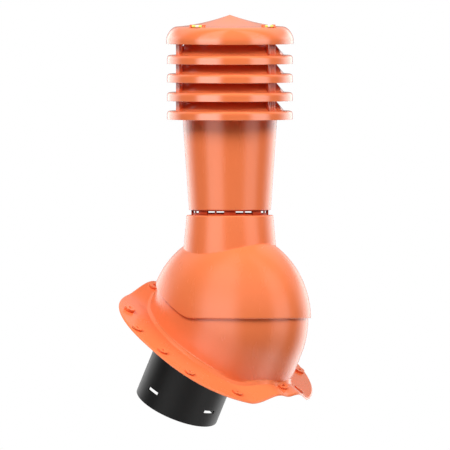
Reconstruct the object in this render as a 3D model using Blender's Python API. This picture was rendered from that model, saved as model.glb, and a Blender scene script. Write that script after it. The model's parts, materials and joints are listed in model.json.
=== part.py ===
"""Roof vent pipe of moulded plastic, built in metres with +Z up.

A corrugated roof base carries a bowl, and a duct runs through it square to the roof. A dome laps over the
bowl and tilts on it about a level axis, so that the tapered pipe and its louvred hood stand upright on any
pitch. The slope runs down towards -Y. The origin is where the pipe's axis meets the plane of the roof,
on which the flange's valleys lie.
"""
import math

import bmesh
import bpy
from mathutils import Matrix, Vector

# Roof and tilt axis
ROOF_PITCH = math.radians(33.7)
DUCT_LEAN = math.radians(28.0)
FIT_GAP = 0.0003

# Bowl, round about the tilt axis and narrower along it
BOWL_HALF_WIDTH = 0.0962
BOWL_RADIUS = 0.1250
BASE_WALL = 0.0026
MOUTH_LATITUDE = math.radians(37.0)
FOOT_DRAFT = math.radians(1.0)

# Flange, a sheet that follows the waves of the roof tiles
FLANGE_HALF_WIDTH = 0.1445
FLANGE_HALF_LENGTH = 0.1465
FLANGE_SHIFT_X = -0.0100
FLANGE_SHIFT_Y = -0.0048
FLANGE_SQUARENESS_UPHILL = 2.5
FLANGE_SQUARENESS_DOWNHILL = 2.4
SHEET = 0.0026
VALLEY_DEPTH = 0.0440
RIDGE_RISE = 0.0175
RIDGE_HALF_TOP = 0.0190
RIDGE_HALF_FOOT = 0.0710
GROOVE_DEPTH = 0.0026
GROOVE_HALF_WIDTH = 0.0110
BEAD_HEIGHT = 0.0024
BEAD_WIDTH = 0.0026
BEAD_CREST = 0.3

# Screw bosses: places across and up the slope from the middle of the flange
BOSS_RADIUS = 0.0078
BOSS_HEIGHT = 0.0026
BOSS_ROOT = 0.0012
BOSS_TALL = 0.0048
BOSS_PAIRS = ((0.1294, 0.0509), (0.1294, -0.0073), (0.1235, -0.0625), (0.0683, -0.1148), (0.0180, 0.1320))
BOSS_TALL_PAIR = (0.1003, 0.0980)
BOSS_LOW = (0.0160, -0.1250)

# Duct through the base
DUCT_RADIUS = 0.0625
DUCT_WALL = 0.0026
DUCT_UPHILL = 0.0291
DUCT_BELOW = 0.1605
DUCT_GAP = 0.0005
COLLAR_TOP = -0.0140
COLLAR_WALL = 0.0026
DUCT_LIP = 0.0042
DUCT_LIP_HEIGHT = 0.0030
SLOT_LENGTH = 0.0200
SLOT_WIDTH = 0.0046
SLOT_ABOVE_END = 0.0238

# Dome and neck
DOME_WALL = 0.0022
LAP_GAP = 0.0018
RIM_LEVEL = 0.0020
RIM_BLEND = 0.0130
NECK_TOP = 0.1512
NECK_TOP_RADIUS = 0.0632
NECK_FOOT_RADIUS = 0.0673
NECK_FOOT_LEVEL = 0.1040
NECK_WALL = 0.0026
NECK_EDGE = 0.0020
SOCKET_DEPTH = 0.0200
SOCKET_WALL = 0.0022

# Tapered pipe and its slotted spigot
PIPE_GAP = 0.0074
PIPE_BOTTOM_RADIUS = 0.0596
PIPE_TOP_RADIUS = 0.0694
PIPE_LENGTH = 0.1423
PIPE_WALL = 0.0024
SPIGOT_RADIUS = 0.0548
SPIGOT_WALL = 0.0024
SPIGOT_CLEARANCE = 0.0004
SPIGOT_DEPTH = 0.0240
FOOT_COUNT = 8
FOOT_WIDTH = 0.0170
FOOT_TURN = math.radians(-5.0)
FOOT_REACH = 0.0028
THIN_TOOTH = 0.0024
WINDOW_HEIGHT = 0.0056

# Louvre rings
RING_COUNT = 4
RING_PITCH = 0.0270
RING_RADIUS = 0.0914
RING_DEPTH = 0.0134
RING_WALL = 0.0022
RING_FLAT_RADIUS = 0.0815
RING_FLAT_FALL = 0.0008
CONE_FOOT_RADIUS = 0.0785
CONE_TOP_RADIUS = 0.0630
CONE_RISE = 0.0185
CONE_FOOT_INNER = 0.0760
PIPE_COLLAR_RADIUS = 0.0733
PIPE_COLLAR_DEPTH = 0.0125
POST_COUNT = 3
POST_RADIUS = 0.0776
POST_WIDTH = 0.0137
POST_THICKNESS = 0.0050

# Hood cap and the two spirit levels on it
CAP_RADIUS = 0.0926
CAP_LIFT = 0.0156
CAP_BAND = 0.0064
CAP_BRIM_RISE = 0.0250
CAP_BRIM_RADIUS = 0.0785
CAP_PEAK_RISE = 0.0173
CAP_CONE_RADIUS = 0.0828
CAP_CONE_POWER = 1.68
CAP_SHARES = (0.0, 0.13, 0.29, 0.52, 0.80)
CAP_BENDS = (0.0, 30.0, 60.0, 90.0)
CAP_BEND_POWER = 1.25
CAP_WALL = 0.0024
VIAL_RADIUS = 0.0023
VIAL_LENGTH = 0.0194
VIAL_FROM_AXIS = 0.0730
VIAL_SINK = 0.0013
POCKET_REACH = 0.0125
BED_WIDTH = 0.0090
BED_DEPTH = 0.0030
HOLDER_LENGTH = 0.0034
HOLDER_WIDTH = 0.0070
HOLDER_HEIGHT = 0.0034
HOLDER_ROOT = 0.0014
LEVEL_TURNS = {"level_vial_side": math.pi, "level_vial_front": -math.pi / 2}

# Sides of the round pieces, and the rows along them as shares of their run
BASE_SIDES = 52
BASE_CROWDING = 0.45
BOWL_SHARES = (0.0, 0.5, 1.0)
WALL_SHARES = (0.5, 0.9)
SHEET_SHARES = (0.55, 1.0)
DOME_SIDES = 44
DOME_STEPS = 7
PIPE_SIDES = 40
DUCT_SIDES = 36
CAP_SIDES = 36
RING_SIDES = 28
RING_BENDS = (0.0, 45.0, 90.0)
VIAL_SIDES = 12
BOSS_SIDES = 8
SHARP_ANGLE = math.radians(35.0)
SEARCH_STEPS = 40
CUTTER_WALLS = 4.0

DOME_HALF_WIDTH = BOWL_HALF_WIDTH + LAP_GAP + DOME_WALL
DOME_RADIUS = BOWL_RADIUS + LAP_GAP + DOME_WALL
SHEET_TILT = math.tan(ROOF_PITCH - DUCT_LEAN)
PIVOT_OFF_ROOF = (VALLEY_DEPTH + SHEET) * math.cos(ROOF_PITCH - DUCT_LEAN)
PIVOT_HEIGHT = PIVOT_OFF_ROOF / math.cos(ROOF_PITCH)
PIPE_BOTTOM = NECK_TOP + PIPE_GAP
PIPE_TOP = PIPE_BOTTOM + PIPE_LENGTH
LOWEST_RING_TOP = PIPE_TOP + FIT_GAP + RING_WALL
HIGHEST_RING_TOP = LOWEST_RING_TOP + (RING_COUNT - 1) * RING_PITCH
POST_RISE = RING_PITCH - RING_WALL - RING_FLAT_FALL
CAP_BOTTOM = HIGHEST_RING_TOP + CAP_LIFT
CAP_BRIM = CAP_BOTTOM + CAP_BRIM_RISE


def clear_scene():
    for item in list(bpy.data.objects):
        bpy.data.objects.remove(item, do_unlink=True)


def plastic(name, colour, roughness):
    material = bpy.data.materials.new(name)
    material.use_nodes = True
    shader = material.node_tree.nodes["Principled BSDF"]
    shader.inputs["Base Color"].default_value = (*colour, 1.0)
    shader.inputs["Roughness"].default_value = roughness
    shader.inputs["Metallic"].default_value = 0.0
    return material


def empty(name, location, rotation=(0.0, 0.0, 0.0)):
    item = bpy.data.objects.new(name, None)
    item.location = location
    item.rotation_euler = rotation
    bpy.context.scene.collection.objects.link(item)
    return item


def add_piece(name, mesh, parent, material=None):
    item = bpy.data.objects.new(name, mesh)
    item.parent = parent
    if material is not None:
        mesh.materials.append(material)
    bpy.context.scene.collection.objects.link(item)
    return item


def mesh_from(name, vertices, faces):
    """A mesh with its faces turned outwards, smooth except at sharp edges."""
    mesh = bpy.data.meshes.new(name)
    mesh.from_pydata(vertices, [], faces)
    shell = bmesh.new()
    shell.from_mesh(mesh)
    bmesh.ops.recalc_face_normals(shell, faces=shell.faces)
    if shell.calc_volume(signed=True) < 0:
        bmesh.ops.reverse_faces(shell, faces=shell.faces)
    shell.to_mesh(mesh)
    shell.free()
    mesh.shade_smooth()
    mesh.set_sharp_from_angle(angle=SHARP_ANGLE)
    return mesh


def ring_body(name, rows):
    """A closed body from rows of points, each row once round, the last row joined to the first."""
    sides = len(rows[0])
    vertices = [point for row in rows for point in row]
    faces = []
    for i in range(len(rows)):
        j = (i + 1) % len(rows)
        for k in range(sides):
            m = (k + 1) % sides
            faces.append((i * sides + k, i * sides + m, j * sides + m, j * sides + k))
    return mesh_from(name, vertices, faces)


def turned(name, profile, sides):
    """A closed body turned about Z; a profile that begins and ends on the axis gets poles."""
    if profile[0][0] > 0:
        rows = [[(r * math.cos(a), r * math.sin(a), z) for a in angles(sides)] for r, z in profile]
        return ring_body(name, rows)
    vertices = [(0.0, 0.0, profile[0][1])]
    for r, z in profile[1:-1]:
        vertices += [(r * math.cos(a), r * math.sin(a), z) for a in angles(sides)]
    vertices.append((0.0, 0.0, profile[-1][1]))
    faces = []
    last = len(vertices) - 1
    inner_rows = len(profile) - 2
    for k in range(sides):
        m = (k + 1) % sides
        faces.append((0, 1 + k, 1 + m))
        for i in range(inner_rows - 1):
            low, high = 1 + i * sides, 1 + (i + 1) * sides
            faces.append((low + k, high + k, high + m, low + m))
        foot = 1 + (inner_rows - 1) * sides
        faces.append((last, foot + m, foot + k))
    return mesh_from(name, vertices, faces)


def angles(sides, crowding=0.0):
    """Angles once round; crowding draws them towards the uphill and downhill ends, where the ridge is."""
    even = [2 * math.pi * k / sides for k in range(sides)]
    return [angle + 0.5 * crowding * math.sin(2 * angle) for angle in even]


def round_a_facet(radius, sides):
    """Corner radius of a bore whose flats stand at the given radius."""
    return radius / math.cos(math.pi / sides)


def block_mesh(name, blocks):
    """Boxes in one mesh: each block is a size and a matrix that places its middle."""
    shell = bmesh.new()
    for size, place in blocks:
        bmesh.ops.create_cube(shell, size=1.0, matrix=place @ Matrix.Diagonal((*size, 1.0)))
    mesh = bpy.data.meshes.new(name)
    shell.to_mesh(mesh)
    shell.free()
    return mesh


def combine(target, mesh, operation, parent):
    """Add or cut a helper mesh that shares the target's parent."""
    helper = add_piece(mesh.name, mesh, parent)
    helper.hide_render = True
    helper.display_type = "WIRE"
    modifier = target.modifiers.new(mesh.name, "BOOLEAN")
    modifier.operation = operation
    modifier.solver = "EXACT"
    modifier.object = helper


def around(angle, radius, height):
    """A place at an angle about Z whose own X points outwards."""
    return Matrix.Rotation(angle, 4, "Z") @ Matrix.Translation((radius, 0.0, height))


def bowl_plan(angle, trim=0.0):
    """Plan radius of the bowl at its widest, less a wall."""
    across = math.cos(angle) / (BOWL_HALF_WIDTH - trim)
    along = math.sin(angle) / (BOWL_RADIUS - trim)
    return 1.0 / math.hypot(across, along)


def outline(angle):
    """Plan radius of the flange from the bowl's axis, for a rounded square set off to one side."""
    inner, outer = 0.0, 2.0 * (FLANGE_HALF_WIDTH + FLANGE_HALF_LENGTH)
    for _ in range(SEARCH_STEPS):
        radius = 0.5 * (inner + outer)
        across = abs(radius * math.cos(angle) - FLANGE_SHIFT_X) / FLANGE_HALF_WIDTH
        offset = radius * math.sin(angle) - FLANGE_SHIFT_Y
        along = abs(offset) / FLANGE_HALF_LENGTH
        squareness = FLANGE_SQUARENESS_UPHILL if offset > 0 else FLANGE_SQUARENESS_DOWNHILL
        if across ** squareness + along ** squareness < 1.0:
            inner = radius
        else:
            outer = radius
    return inner


def wave(x):
    """Height of the sheet's top over the tiles: a ridge with a shallow groove, and a valley each side."""
    run = (abs(x) - RIDGE_HALF_TOP) / (RIDGE_HALF_FOOT - RIDGE_HALF_TOP)
    ridge = 0.5 + 0.5 * math.cos(math.pi * min(max(run, 0.0), 1.0))
    groove = math.exp(-(x / GROOVE_HALF_WIDTH) ** 2)
    return -VALLEY_DEPTH + RIDGE_RISE * ridge - GROOVE_DEPTH * groove


def sheet_top(x, y):
    """Top of the flange in the duct's frame."""
    return wave(x) + SHEET_TILT * y


def on_sheet(angle, radius, lift=0.0):
    x, y = radius * math.cos(angle), radius * math.sin(angle)
    return (x, y, sheet_top(x, y) + lift)


def bowl_point(angle, latitude, trim=0.0):
    radius = bowl_plan(angle, trim) * math.cos(latitude)
    return (radius * math.cos(angle), radius * math.sin(angle), (BOWL_RADIUS - trim) * math.sin(latitude))


def wall_point(angle, share, trim=0.0, lift=0.0):
    """A point on the bowl's straight wall: share 0 at its widest, 1 where it meets the sheet."""
    radius = bowl_plan(angle, trim)
    foot_height = on_sheet(angle, radius)[2] + lift
    height = share * foot_height
    radius -= height * math.tan(FOOT_DRAFT)
    return (radius * math.cos(angle), radius * math.sin(angle), height)


def collar_radius(angle, radius):
    """Distance from the bowl's axis to the duct's circle, which sits further up the slope."""
    return DUCT_UPHILL * math.sin(angle) + math.sqrt(radius ** 2 - (DUCT_UPHILL * math.cos(angle)) ** 2)


def collar_point(angle, radius, height):
    reach = collar_radius(angle, radius)
    return (reach * math.cos(angle), reach * math.sin(angle), height)


def boss_mesh():
    places = [(sign * x, y, BOSS_HEIGHT) for x, y in BOSS_PAIRS for sign in (-1, 1)]
    places += [(sign * BOSS_TALL_PAIR[0], BOSS_TALL_PAIR[1], BOSS_TALL) for sign in (-1, 1)]
    places.append((*BOSS_LOW, BOSS_HEIGHT))
    shell = bmesh.new()
    step = BOSS_RADIUS / 4
    for x, y, height in places:
        x, y = x + FLANGE_SHIFT_X, y + FLANGE_SHIFT_Y
        slope_x = (sheet_top(x + step, y) - sheet_top(x - step, y)) / (2 * step)
        slope_y = (sheet_top(x, y + step) - sheet_top(x, y - step)) / (2 * step)
        upright = Vector((-slope_x, -slope_y, 1.0)).normalized()
        turn = Vector((0.0, 0.0, 1.0)).rotation_difference(upright).to_matrix().to_4x4()
        middle = Vector((x, y, sheet_top(x, y))) + upright * 0.5 * (height - BOSS_ROOT)
        bmesh.ops.create_cone(shell, cap_ends=True, segments=BOSS_SIDES, radius1=BOSS_RADIUS,
                              radius2=BOSS_RADIUS, depth=height + BOSS_ROOT,
                              matrix=Matrix.Translation(middle) @ turn)
    mesh = bpy.data.meshes.new("boss_helper")
    shell.to_mesh(mesh)
    shell.free()
    return mesh


def make_base(frame, material):
    """Flange, bowl and duct collar: one moulding, open at the bowl's mouth and round the duct."""
    hole = DUCT_RADIUS + DUCT_GAP
    turns = angles(BASE_SIDES, BASE_CROWDING)
    rows = [
        [collar_point(a, hole, COLLAR_TOP) for a in turns],
        [collar_point(a, hole + COLLAR_WALL, COLLAR_TOP) for a in turns],
        [on_sheet(a, collar_radius(a, hole + COLLAR_WALL)) for a in turns],
        [wall_point(a, 1.0, BASE_WALL) for a in turns],
    ]
    rows += [[bowl_point(a, MOUTH_LATITUDE * share, BASE_WALL) for a in turns] for share in BOWL_SHARES]
    rows += [[bowl_point(a, MOUTH_LATITUDE * share) for a in turns] for share in reversed(BOWL_SHARES)]
    rows += [[wall_point(a, share) for a in turns] for share in WALL_SHARES]
    beads = [wall_point(a, 1.0) for a in turns]
    feet = [math.hypot(x, y) for x, y, _ in beads]
    rows.append([on_sheet(a, f + BEAD_CREST * BEAD_WIDTH, BEAD_HEIGHT) for a, f in zip(turns, feet)])
    rows.append([on_sheet(a, f + BEAD_WIDTH) for a, f in zip(turns, feet)])
    for share in SHEET_SHARES:
        rows.append([on_sheet(a, f + BEAD_WIDTH + share * (outline(a) - f - BEAD_WIDTH))
                     for a, f in zip(turns, feet)])
    rows.append([on_sheet(a, outline(a), -SHEET) for a in turns])
    rows.append([on_sheet(a, 0.5 * (f + outline(a)), -SHEET) for a, f in zip(turns, feet)])
    rows.append([on_sheet(a, f, -SHEET) for a, f in zip(turns, feet)])
    rows.append([on_sheet(a, collar_radius(a, hole), -SHEET) for a in turns])
    base = add_piece("roof_base", ring_body("roof_base", rows), frame, material)
    combine(base, boss_mesh(), "UNION", frame)


def make_duct(frame, material):
    """Straight pipe with a lip that hangs on the base's collar and four slots near its open end."""
    lip_bottom = COLLAR_TOP + FIT_GAP
    lip_top = lip_bottom + DUCT_LIP_HEIGHT
    inner = DUCT_RADIUS - DUCT_WALL
    profile = [(inner, lip_top), (DUCT_RADIUS + DUCT_LIP, lip_top), (DUCT_RADIUS + DUCT_LIP, lip_bottom),
               (DUCT_RADIUS, lip_bottom), (DUCT_RADIUS, -DUCT_BELOW), (inner, -DUCT_BELOW)]
    axis = empty("duct_axis", (0.0, DUCT_UPHILL, 0.0))
    axis.parent = frame
    duct = add_piece("duct_stub", turned("duct_stub", profile, DUCT_SIDES), axis, material)
    level = SLOT_ABOVE_END - DUCT_BELOW
    slot = (CUTTER_WALLS * DUCT_WALL, SLOT_LENGTH, SLOT_WIDTH)
    slots = [(slot, around(quarter * math.pi / 2, DUCT_RADIUS, level)) for quarter in range(4)]
    combine(duct, block_mesh("slot_cutter", slots), "DIFFERENCE", axis)


def dome_plan(angle, trim):
    across = math.cos(angle) / (DOME_HALF_WIDTH - trim)
    along = math.sin(angle) / (DOME_RADIUS - trim)
    return 1.0 / math.hypot(across, along)


def rim_height(y):
    """The rim is level on the downhill half and runs parallel to the duct's plane on the uphill half."""
    slope = math.tan(DUCT_LEAN)
    if y <= -RIM_BLEND:
        return RIM_LEVEL
    if y >= RIM_BLEND:
        return RIM_LEVEL + slope * y
    return RIM_LEVEL + slope * (y + RIM_BLEND) ** 2 / (4 * RIM_BLEND)


def rim_latitude(angle, trim):
    latitude = 0.0
    for _ in range(SEARCH_STEPS):
        y = dome_plan(angle, trim) * math.cos(latitude) * math.sin(angle)
        latitude = math.asin(rim_height(y) / (DOME_RADIUS - trim))
    return latitude


def dome_row(turns, share, trim, stop_radius):
    """One row of the dome: share 0 on the rim, 1 where the dome reaches a radius from the pipe's axis."""
    row = []
    for angle in turns:
        low = rim_latitude(angle, trim)
        high = math.acos(stop_radius / dome_plan(angle, trim))
        latitude = low + share * (high - low)
        radius = dome_plan(angle, trim) * math.cos(latitude)
        row.append((radius * math.cos(angle), radius * math.sin(angle),
                    (DOME_RADIUS - trim) * math.sin(latitude)))
    return row


def neck_radius(height):
    slope = (NECK_FOOT_RADIUS - NECK_TOP_RADIUS) / (NECK_TOP - NECK_FOOT_LEVEL)
    return NECK_TOP_RADIUS + slope * (NECK_TOP - height)


def make_dome(frame, material):
    """Dome, neck and the socket inside the neck: one moulding."""
    turns = angles(DOME_SIDES)
    socket_inner = round_a_facet(SPIGOT_RADIUS + SPIGOT_CLEARANCE, DOME_SIDES)
    socket_outer = socket_inner + SOCKET_WALL
    shelf = NECK_TOP - NECK_WALL

    def level_row(radius, height):
        return [(radius * math.cos(a), radius * math.sin(a), height) for a in turns]

    rows = [dome_row(turns, step / DOME_STEPS, 0.0, NECK_FOOT_RADIUS) for step in range(DOME_STEPS + 1)]
    rows.append(level_row(neck_radius(NECK_TOP - NECK_EDGE), NECK_TOP - NECK_EDGE))
    rows.append(level_row(NECK_TOP_RADIUS - NECK_EDGE, NECK_TOP))
    rows.append(level_row(socket_inner, NECK_TOP))
    rows.append(level_row(socket_inner, NECK_TOP - SOCKET_DEPTH))
    rows.append(level_row(socket_outer, NECK_TOP - SOCKET_DEPTH))
    rows.append(level_row(socket_outer, shelf))
    rows.append(level_row(neck_radius(shelf) - NECK_WALL, shelf))
    inner_stop = NECK_FOOT_RADIUS - NECK_WALL
    rows += [dome_row(turns, step / DOME_STEPS, DOME_WALL, inner_stop)
             for step in reversed(range(DOME_STEPS + 1))]
    add_piece("swivel_dome", ring_body("swivel_dome", rows), frame, material)


def make_pipe(frame, material):
    """Tapered pipe on a slotted spigot that plugs into the neck; wide teeth stand on the neck."""
    spigot_inner = SPIGOT_RADIUS - SPIGOT_WALL
    shelf = PIPE_BOTTOM + PIPE_WALL
    profile = [(PIPE_TOP_RADIUS, PIPE_TOP), (PIPE_BOTTOM_RADIUS, PIPE_BOTTOM), (SPIGOT_RADIUS, PIPE_BOTTOM),
               (SPIGOT_RADIUS, NECK_TOP - SPIGOT_DEPTH), (spigot_inner, NECK_TOP - SPIGOT_DEPTH),
               (spigot_inner, shelf), (PIPE_BOTTOM_RADIUS - PIPE_WALL, shelf),
               (PIPE_TOP_RADIUS - PIPE_WALL, PIPE_TOP)]
    pipe = add_piece("tapered_pipe", turned("tapered_pipe", profile, PIPE_SIDES), frame, material)
    foot_bottom = NECK_TOP + FIT_GAP
    foot_top = PIPE_BOTTOM + 0.5 * PIPE_WALL
    foot_depth = FOOT_REACH + 0.5 * SPIGOT_WALL
    foot = (foot_depth, FOOT_WIDTH, foot_top - foot_bottom)
    foot_middle = SPIGOT_RADIUS + FOOT_REACH - 0.5 * foot_depth
    sector = 2 * math.pi / FOOT_COUNT
    foot_level = 0.5 * (foot_top + foot_bottom)
    feet = [(foot, around(FOOT_TURN + k * sector, foot_middle, foot_level)) for k in range(FOOT_COUNT)]
    combine(pipe, block_mesh("foot_helper", feet), "UNION", frame)
    half_sector = math.pi * SPIGOT_RADIUS / FOOT_COUNT
    window_width = half_sector - 0.5 * (FOOT_WIDTH + THIN_TOOTH)
    turn = 0.5 * (FOOT_WIDTH + window_width) / SPIGOT_RADIUS
    window = (CUTTER_WALLS * SPIGOT_WALL, window_width, WINDOW_HEIGHT)
    level = PIPE_BOTTOM - 0.5 * WINDOW_HEIGHT
    windows = [(window, around(FOOT_TURN + k * sector + side * turn, SPIGOT_RADIUS, level))
               for k in range(FOOT_COUNT) for side in (-1, 1)]
    combine(pipe, block_mesh("window_cutter", windows), "DIFFERENCE", frame)


def ring_profile(top, with_collar):
    """One louvre: a baffle cone, a flat ring and a rounded lip, with an even wall beneath."""
    lip = top - RING_DEPTH
    bend = RING_RADIUS - RING_FLAT_RADIUS
    bend_middle = top - RING_FLAT_FALL - bend
    bends = [math.radians(turn) for turn in RING_BENDS]
    profile = [(CONE_TOP_RADIUS, top + CONE_RISE), (CONE_FOOT_RADIUS, top)]
    profile += [(RING_FLAT_RADIUS + bend * math.sin(t), bend_middle + bend * math.cos(t)) for t in bends]
    profile += [(RING_RADIUS, lip), (RING_RADIUS - RING_WALL, lip)]
    bend -= RING_WALL
    profile += [(RING_FLAT_RADIUS + bend * math.sin(t), bend_middle + bend * math.cos(t))
                for t in reversed(bends)]
    if with_collar:
        bore = round_a_facet(PIPE_TOP_RADIUS + SPIGOT_CLEARANCE, RING_SIDES)
        profile += [(PIPE_COLLAR_RADIUS, top - RING_WALL), (PIPE_COLLAR_RADIUS, top - PIPE_COLLAR_DEPTH),
                    (bore, top - PIPE_COLLAR_DEPTH), (bore, top - RING_WALL)]
        profile.append((CONE_TOP_RADIUS - RING_WALL, top - RING_WALL + CONE_RISE))
    else:
        profile.append((CONE_FOOT_INNER, top - RING_WALL))
        profile.append((CONE_TOP_RADIUS - RING_WALL, top - RING_WALL + CONE_RISE))
    return profile


def post_blocks(bottom, top):
    size = (POST_THICKNESS, POST_WIDTH, top - bottom)
    first = -math.pi / 2
    return [(size, around(first + k * 2 * math.pi / POST_COUNT, POST_RADIUS, 0.5 * (top + bottom)))
            for k in range(POST_COUNT)]


def make_rings(frame, material):
    """The louvre rings stack on their posts; the lowest has a collar round the pipe."""
    for index in range(RING_COUNT):
        top = HIGHEST_RING_TOP - index * RING_PITCH
        name = f"louvre_ring_{index + 1}"
        profile = ring_profile(top, with_collar=index == RING_COUNT - 1)
        ring = add_piece(name, turned(name, profile, RING_SIDES), frame, material)
        post_top = top + POST_RISE - FIT_GAP
        posts = post_blocks(top - 0.5 * RING_WALL, post_top)
        combine(ring, block_mesh(f"post_helper_{index + 1}", posts), "UNION", frame)


def cap_surface(radius):
    """Top of the cap: a hollow-sided cone that runs out level on the brim."""
    share = max(1.0 - radius / CAP_CONE_RADIUS, 0.0)
    return CAP_BRIM + CAP_PEAK_RISE * share ** CAP_CONE_POWER


def brim_bend(reach, drop, foot):
    """Quarter round of the brim, drawn in at its shoulder: a plain quarter ellipse has a power of 1."""
    turns = [math.radians(turn) for turn in CAP_BENDS]
    return [(CAP_BRIM_RADIUS + reach * math.sin(t) ** CAP_BEND_POWER,
             foot + drop * max(math.cos(t), 0.0) ** CAP_BEND_POWER) for t in turns]


def make_cap(frame, material):
    """Cap with a rounded brim and a short band, pads for the posts, and a seat for each level."""
    bend = CAP_RADIUS - CAP_BRIM_RADIUS
    band_top = CAP_BOTTOM + CAP_BAND
    drop = CAP_BRIM - band_top
    top_radii = [CAP_CONE_RADIUS * share for share in CAP_SHARES]
    profile = [(r, cap_surface(r)) for r in top_radii]
    profile += brim_bend(bend, drop, band_top)
    profile += [(CAP_RADIUS, CAP_BOTTOM), (CAP_RADIUS - CAP_WALL, CAP_BOTTOM)]
    profile += reversed(brim_bend(bend - CAP_WALL, drop - CAP_WALL, band_top))
    profile += [(r, cap_surface(r) - CAP_WALL) for r in reversed(top_radii[::2])]
    cap = add_piece("hood_cap", turned("hood_cap", profile, CAP_SIDES), frame, material)
    pad_bottom = HIGHEST_RING_TOP + POST_RISE
    pads = post_blocks(pad_bottom, CAP_BRIM - 0.5 * CAP_WALL)
    combine(cap, block_mesh("pad_helper", pads), "UNION", frame)
    add_level_seats(cap, frame)


def add_level_seats(cap, frame):
    """A thicker bed under each level, a holder at each end, and a pocket that opens over the brim."""
    bed = (BED_WIDTH, VIAL_LENGTH + 2 * HOLDER_LENGTH, BED_DEPTH)
    bed_middle = CAP_BRIM_RADIUS - 0.5 * BED_WIDTH
    bed_level = CAP_BRIM - 0.5 * (CAP_WALL + BED_DEPTH)
    beds = [(bed, around(turn, bed_middle, bed_level)) for turn in LEVEL_TURNS.values()]
    combine(cap, block_mesh("bed_helper", beds), "UNION", frame)
    holder = (HOLDER_WIDTH, HOLDER_LENGTH, HOLDER_HEIGHT + HOLDER_ROOT)
    holder_level = cap_surface(VIAL_FROM_AXIS) + 0.5 * (HOLDER_HEIGHT - HOLDER_ROOT)
    offset = 0.5 * (VIAL_LENGTH + HOLDER_LENGTH) + FIT_GAP
    holders = [(holder, around(turn, VIAL_FROM_AXIS, holder_level) @ Matrix.Translation((0.0, side * offset, 0.0)))
               for turn in LEVEL_TURNS.values() for side in (-1, 1)]
    combine(cap, block_mesh("holder_helper", holders), "UNION", frame)
    pocket = (POCKET_REACH, VIAL_LENGTH + 2 * FIT_GAP, CUTTER_WALLS * VIAL_SINK)
    pocket_middle = VIAL_FROM_AXIS - VIAL_RADIUS - FIT_GAP + 0.5 * POCKET_REACH
    pocket_level = CAP_BRIM - VIAL_SINK + 0.5 * CUTTER_WALLS * VIAL_SINK
    pockets = [(pocket, around(turn, pocket_middle, pocket_level)) for turn in LEVEL_TURNS.values()]
    combine(cap, block_mesh("pocket_cutter", pockets), "DIFFERENCE", frame)


def make_levels(frame, material):
    """Each level is a sealed vial lying across the slope or along it, in its pocket between two holders."""
    height = CAP_BRIM - VIAL_SINK + FIT_GAP + VIAL_RADIUS
    half = 0.5 * VIAL_LENGTH
    profile = [(0.0, half), (VIAL_RADIUS, half), (VIAL_RADIUS, -half), (0.0, -half)]
    lying = Matrix.Rotation(math.pi / 2, 4, "X")
    for name, turn in LEVEL_TURNS.items():
        vial = add_piece(name, turned(name, profile, VIAL_SIDES), frame, material)
        vial.matrix_local = around(turn, VIAL_FROM_AXIS, height) @ lying


clear_scene()
orange = plastic("terracotta_plastic", (0.80, 0.22, 0.08), 0.38)
black = plastic("black_plastic", (0.02, 0.02, 0.02), 0.42)
liquid = plastic("level_liquid", (0.62, 0.75, 0.05), 0.15)
pivot = (0.0, 0.0, PIVOT_HEIGHT)
roof_frame = empty("roof_frame", pivot, (DUCT_LEAN, 0.0, 0.0))
tilt_axis = empty("tilt_axis", pivot)
make_base(roof_frame, orange)
make_duct(roof_frame, black)
make_dome(tilt_axis, orange)
make_pipe(tilt_axis, orange)
make_rings(tilt_axis, orange)
make_cap(tilt_axis, orange)
make_levels(tilt_axis, liquid)
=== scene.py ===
import json
import math

import bmesh
import bpy
import numpy as np
from mathutils import Matrix, Vector


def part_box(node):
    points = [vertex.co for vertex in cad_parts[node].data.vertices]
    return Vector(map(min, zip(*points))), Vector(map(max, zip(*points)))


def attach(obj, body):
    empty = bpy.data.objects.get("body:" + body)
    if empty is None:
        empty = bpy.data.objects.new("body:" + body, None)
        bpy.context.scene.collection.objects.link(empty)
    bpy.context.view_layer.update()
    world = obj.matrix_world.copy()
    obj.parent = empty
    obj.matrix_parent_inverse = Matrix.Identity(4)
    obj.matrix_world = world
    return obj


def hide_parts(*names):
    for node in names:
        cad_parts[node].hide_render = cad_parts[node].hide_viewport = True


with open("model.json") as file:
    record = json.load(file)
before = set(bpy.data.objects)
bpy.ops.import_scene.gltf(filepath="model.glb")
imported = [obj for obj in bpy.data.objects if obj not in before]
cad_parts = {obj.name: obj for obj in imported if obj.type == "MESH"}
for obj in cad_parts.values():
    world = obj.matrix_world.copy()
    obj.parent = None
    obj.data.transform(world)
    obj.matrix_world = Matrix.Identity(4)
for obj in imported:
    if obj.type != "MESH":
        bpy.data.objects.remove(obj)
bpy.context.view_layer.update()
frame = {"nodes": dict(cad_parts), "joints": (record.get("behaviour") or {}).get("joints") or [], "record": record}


# Roof base: one injection moulding in satin terracotta plastic. A corrugated flange lies on the tiles, a
# bowl stands on it with a small bead at its foot, and thirteen low bosses take the roofing screws.
BOWL_HALF_WIDTH = 0.0962
BOWL_RADIUS = 0.1250
BASE_WALL = 0.0026
MOUTH_LATITUDE = math.radians(37.0)
FOOT_DRAFT = math.radians(1.0)
FLANGE_HALF_WIDTH = 0.1445
FLANGE_HALF_LENGTH = 0.1465
FLANGE_SHIFT = (-0.0100, -0.0048)
SQUARENESS_UPHILL = 2.5
SQUARENESS_DOWNHILL = 2.4
SHEET = 0.0026
EDGE_SLOPE = 0.0022
VALLEY_DEPTH = 0.0440
RIDGE_RISE = 0.0175
RIDGE_HALF_TOP = 0.0190
RIDGE_HALF_FOOT = 0.0710
GROOVE_DEPTH = 0.0026
GROOVE_HALF_WIDTH = 0.0110
BEAD_WIDTH = 0.0032
BEAD_HEIGHT = 0.0032
BASE_TURNS = 320
SEARCH_STEPS = 40
DUCT_RADIUS = 0.0625
DUCT_UPHILL = 0.0291
DUCT_GAP = 0.0005
COLLAR_TOP = -0.0140
COLLAR_WALL = 0.0026
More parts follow.
